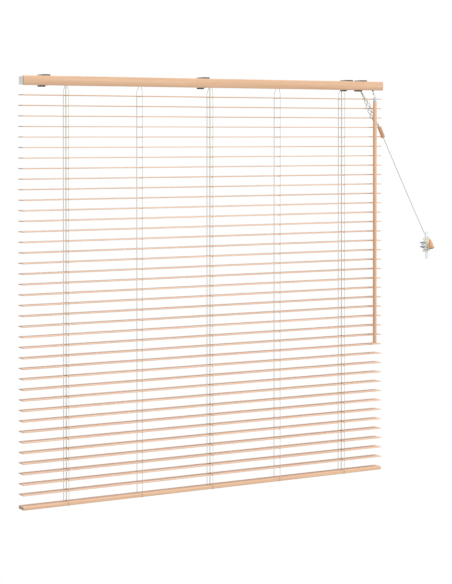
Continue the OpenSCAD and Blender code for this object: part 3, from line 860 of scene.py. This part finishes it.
def make_headrail():
    """The channel: one bent sheet with round corners and lips, pierced for the cords, lock and tilter."""
    front, back, top, low = rail_low.y, rail_high.y, rail_high.z, rail_low.z
    wall, corner, lip = 0.8, 1.4, 1.1
    lock_r, worm_r, through = 3.1, 2.3, 3
    outer = [(back - lip - wall, top), *arc((back - 0.5, top - 0.5), 0.5, 90, 0, 2),
             *arc((back - corner, low + corner), corner, 0, -90, 5),
             *arc((front + corner, low + corner), corner, -90, -180, 5),
             *arc((front + 0.5, top - 0.5), 0.5, 180, 90, 2), (front + lip + wall, top)]
    inner = [(front + lip + wall, top - wall), (front + wall, top - wall),
             *arc((front + corner, low + corner), corner - wall, 180, 270, 5),
             *arc((back - corner, low + corner), corner - wall, 270, 360, 5),
             (back - wall, top - wall), (back - lip - wall, top - wall)]
    channel = Shape().add(bar((outer + inner)[::-1], rail_low.x, rail_high.x, 0.15))
    holes = Shape()
    for x in LADDER_X:
        slot = plate(rounded(5, 8.75, 1.0, (x, -1.25)), [], 2 * through, 0.01, 1)
        holes.add(slot, place=Matrix.Translation((0, 0, low)))
    holes.add(drill(lock_r, through), place=Matrix.Translation((LOCK[0], LOCK[1], low)))
    holes.add(drill(worm_r, through + 2), place=axis_place(worm_at(low), worm_at(low - 1)))
    cut(channel, holes).piece("headrail_channel", "root", "channel_paint", [CHANNEL], ["headrail"],
                              sharp=35)
    softened("headrail_caps", "headrail_end_caps", "root", [CAP], 0.35)


def make_brackets():
    """Four bent steel strips over and behind the channel, each with a dark lever at its front."""
    lever_floor = -6

    def dark_ends(centre, _normal):
        return int(centre.z < rail_low.z - 0.1 or centre.y < rail_low.y - 0.02)

    softened("bracket_strips", "mounting_brackets", "root", [BRACKET_STEEL, BRACKET_DARK],
             0.25, lambda lowest: lowest <= lever_floor, dark_ends)
    softened("bracket_levers", "mounting_brackets", "root", [BRACKET_DARK], 0.25,
             lambda lowest: lowest > lever_floor)


def make_inner_parts():
    """The tilt drive and the cord lock inside the channel."""
    wheel_half_w, hub_r = 1.7, 2.36

    def wheel(centre, _normal):
        by_worm = abs(centre.x - WORM_EXIT.x) < wheel_half_w
        return int(by_worm and hypot(centre.y, centre.z - ROD_Z) > hub_r)

    def dark_exit(centre, _normal):
        return int(centre.z < rail_low.z + 0.5)

    softened("cradles", "drum_cradles", "root", [NYLON], 0.25)
    softened("drums", "ladder_drums", "tilt_drive", [NYLON], 0.5)
    softened("rod_and_wheel", "tilt_rod", "tilt_drive", [ROD_STEEL, NYLON], 0.12, paint=wheel)
    softened("tilter_case", "tilter_housing", "root", [NYLON], 0.4)
    softened("lock_body", "cord_lock", "root", [NYLON, DARK_NYLON], 0.3, paint=dark_exit)


def worm_thread(length, lead, steps=22):
    """Corners and faces of a worm's thread round the height's axis, with that many steps to a turn."""
    section = ((1.5, -0.55), (2.35, -0.2), (2.35, 0.2), (1.5, 0.55))
    corners, faces = [], []
    sides = int(length / lead * steps)
    for i in range(sides + 1):
        angle = TURN * i / steps
        height = -length / 2 + length * i / sides
        corners += [Vector((r * cos(angle), r * sin(angle), height + rise)) for r, rise in section]
    for i in range(sides):
        for k in range(4):
            a, b = 4 * i + k, 4 * i + (k + 1) % 4
            faces.append([a, b, b + 4, a + 4])
    faces += [[3, 2, 1, 0], [4 * sides + k for k in range(4)]]
    return corners, faces


def make_worm():
    """The worm with its thread, its shaft, the collar under the channel and the wire with its ball."""
    pitch_r, teeth, wire_r, ball_r = 4.5, 15, 0.5, 0.9
    mesh_gap = -cos(WORM_LEAN) * WORM_EXIT.y + sin(WORM_LEAN) * (WORM_EXIT.z - ROD_Z)
    mesh_at = Vector((WORM_EXIT.x, -cos(WORM_LEAN) * mesh_gap, ROD_Z + sin(WORM_LEAN) * mesh_gap))
    # Heights in the lathes are distances from the worm's middle, down its axis.
    middle = worm_at(BALL_Z)
    place = axis_place(mesh_at, middle)
    down = (middle - mesh_at).length
    collar_top = down - (worm_at(COLLAR_TOP_Z) - middle).length
    collar_low = down - (worm_at(COLLAR_LOW_Z) - middle).length
    shaft = [(0, -3.3), (1.3, -3.3), (1.6, -3.0), (1.6, 3.2), (1.3, 3.4), (1.3, collar_top + 0.1),
             (0, collar_top + 0.1)]
    collar = [(0, collar_top), (1.5, collar_top), (1.8, collar_top + 0.3), (1.8, collar_low - 1.4),
              (1.45, collar_low - 0.9), (1.45, collar_low - 0.3), (1.1, collar_low), (0, collar_low)]
    ball = [(ball_r * sin(pi * i / 10), down - ball_r * cos(pi * i / 10)) for i in range(3, 10)]
    wire = [(0, collar_low - 0.1), (wire_r, collar_low - 0.1), (wire_r, down - 0.8), *ball,
            (0, down + ball_r)]
    shape = Shape()
    shape.add(worm_thread(6.0, TURN * pitch_r / teeth), 0, place)
    shape.add(lathe(shaft, 24, place))
    shape.add(lathe(collar, 28, place), 1)
    shape.add(lathe(wire, 20, place), 2)
    shape.piece("worm_and_wire", "worm", "worm_steel", [NYLON, DARK_NYLON, WIRE_STEEL], ["tilt_worm"])


def make_wand():
    """The wand: a turned stick in a clear sleeve, which hangs from the ball by a bent wire and a cup."""
    x, y, top, low, tenon = wand_axis.x, wand_axis.y, wand_high.z - 3.6, wand_low.z, wand_high.z
    stick = [(0, low), (WAND_R - 2.2, low), (WAND_R - 1.0, low + 0.25), (WAND_R - 0.3, low + 0.9),
             (WAND_R, low + 2.0), (WAND_R, top - 0.6), (WAND_R - 0.2, top - 0.15), (WAND_R - 0.6, top),
             (2.2, top), (2.2, tenon - 0.3), (1.9, tenon), (0, tenon)]
    upright = Matrix.Translation((x, y, 0))
    Shape().add(lathe(stick, 40, upright)).piece(
        "wand_stick_turned", "wand_stick", "wand_wood", [WAND_WOOD], ["wand"])
    floor, cap, bore = top + 0.05, -39.0, 2.4
    sleeve = [(bore, floor), (3.15, floor), (3.4, floor + 0.25), (3.4, cap - 1.4), (3.2, cap - 0.6),
              (2.5, cap - 0.1), (1.6, cap), (0, cap), (0, tenon + 0.35), (bore, tenon + 0.3)]
    # The cup's rim stays clear of the wire's neck when the wand has swung all the way forward.
    rim = [pi * i / 16 for i in range(11)]
    cup = [(1.7 * sin(a), -1.7 * cos(a)) for a in rim]
    cup += [(1.15 * sin(a), -1.15 * cos(a)) for a in rim[::-1]]
    ball = worm_at(BALL_Z)
    stem = [(x, ball.y - 0.4, ball.z - 1.4), (x, ball.y - 0.9, ball.z - 3.0), (x, y + 0.6, cap + 2.2),
            (x, y, cap + 0.6), (x, y, cap - 2.0)]
    shape = Shape()
    shape.add(lathe(sleeve, 36, upright, hollow=True))
    shape.add(lathe(cup, 28, Matrix.Translation(ball)), 1)
    shape.add(tube(smooth(stem, 0.6), 0.6, 12), 1)
    shape.piece("wand_sleeve_and_hook", "wand_link", "connector_clear", [CLEAR_SLEEVE, WIRE_STEEL],
                ["wand_connector"])


# ---- Cleat ----

def make_cleat():
    """The cleat: a bar with round horns on a neck and a foot, and two screws through it."""
    bar_t, foot_t, wall = 5.0, 2.0, 11.0
    neck_low, neck_high = -1.5, 9.5
    half_l, half_w = (cleat_high.z - cleat_low.z) / 2, 3.2

    def standing(y):
        """Stands a plate up at that depth: it is made flat in X and Y, and its Y becomes Z."""
        return Matrix.Translation((CLEAT_X, y, CLEAT_Z)) @ Matrix.Rotation(radians(90), 4, "X")

    shape = Shape()
    horns = plate(rounded(half_w, half_l, half_w, steps=10), [], bar_t, 1.3, 5)
    neck = plate(rounded(3.0, 7.75, 1.2), [], neck_high - neck_low, 0.2, 2)
    foot = plate(rounded(3.5, 8.5, 1.8, steps=8), [], foot_t, 0.5, 4)
    shape.add(horns, 0, standing(cleat_low.y + bar_t / 2))
    shape.add(neck, 0, standing((neck_low + neck_high) / 2))
    shape.add(foot, 0, standing(wall - foot_t / 2))
    shape.piece("cleat_body", "root", "cleat_clear", [CLEAT_CLEAR], ["cord_cleat"])
    make_screws()


def make_screws():
    """The cleat's two round-headed screws, with their threads standing out of its foot."""
    spacing, pitch, head = 9.7, 1.15, cleat_low.y - 0.35
    reach = cleat_high.y - head
    thread = []
    for i in range(int((reach - 11) / pitch)):
        thread += [(1.15, 8.0 + pitch * i), (1.5, 8.45 + pitch * i), (1.5, 8.6 + pitch * i)]
    profile = [(0, 0.45), (0.55, 0.45), (0.75, 0.1), (1.9, 0), (2.45, 0.35), (2.6, 0.8), (2.5, 1.4),
               (1.5, 1.9), (1.4, 7.8), *thread, (1.2, reach - 2.6), (0.6, reach - 1.0), (0, reach)]
    screws = Shape()
    for z in (CLEAT_Z - spacing / 2, CLEAT_Z + spacing / 2):
        screws.add(lathe(profile, 24, axis_place((CLEAT_X, head, z), (CLEAT_X, cleat_high.y, z))))
    screws.piece("cleat_screws", "root", "bracket_steel", [SCREW_STEEL], ["cord_cleat"])


# ---- Room ----

def make_floor():
    """A round pale floor 1.2 m under the hanging blind."""
    radius_m, drop_m, sides = 3.5, 1.2, 96
    finish = Finish("floor_paint", roughness=0.9)
    tone = finish.ramp(finish.noise((3, 3, 3), 2), [(0.3, (0.63, 0.63, 0.63)), (0.7, (0.66, 0.66, 0.66))])
    finish.link(tone, "Base Color")
    rim = [(radius_m * cos(TURN * k / sides), radius_m * sin(TURN * k / sides), cad_low_m.z - drop_m)
           for k in range(sides)]
    mesh = bpy.data.meshes.new("floor")
    mesh.from_pydata(rim, [], [list(range(sides))])
    mesh.materials.append(finish.material)
    placed("floor", mesh)


def make_lights():
    """A broad light from high in front, a weak one level with the blind and a faint one behind it."""
    aim = Vector((0, 0, -0.45))
    # Name, place and size in metres, and watts
    lights = (("key", (3.4, -3.8, 8.0), 3.2, 590), ("fill", (0.4, -4.2, -0.3), 2.5, 14),
              ("rim", (1.0, 2.8, 1.2), 2.0, 6))
    for name, spot, size, power in lights:
        light = bpy.data.lights.new(name, "AREA")
        light.size, light.energy = size, power
        lamp = placed(name, light)
        lamp.location = spot
        lamp.rotation_euler = (aim - Vector(spot)).to_track_quat("-Z", "Y").to_euler()


def make_surround():
    """A surround that looks white, also through clear parts, and lights the blind less brightly."""
    brightness = 0.66
    world = bpy.data.worlds.new("surround")
    world.use_nodes = True
    tree = world.node_tree
    seen, lit = tree.nodes["Background"], tree.nodes.new("ShaderNodeBackground")
    for background, strength in ((seen, 1.0), (lit, brightness)):
        background.inputs["Color"].default_value = (1, 1, 1, 1)
        background.inputs["Strength"].default_value = strength
    blend = tree.nodes.new("ShaderNodeMixShader")
    rays = tree.nodes.new("ShaderNodeLightPath").outputs
    direct = tree.nodes.new("ShaderNodeMath")
    direct.operation = "MAXIMUM"
    join = tree.links.new
    join(rays["Is Camera Ray"], direct.inputs[0])
    join(rays["Is Transmission Ray"], direct.inputs[1])
    join(direct.outputs[0], blend.inputs["Fac"])
    join(lit.outputs[0], blend.inputs[1])
    join(seen.outputs[0], blend.inputs[2])
    join(blend.outputs[0], tree.nodes["World Output"].inputs["Surface"])
    bpy.context.scene.world = world
    bpy.context.scene.view_settings.view_transform = "Standard"


add_camera()
make_cords()
make_slats()
make_ladders()
make_lift_cords()
make_bottom_rail()
make_valance()
make_headrail()
make_brackets()
make_inner_parts()
make_worm()
make_wand()
make_cleat()
make_floor()
make_lights()
make_surround()
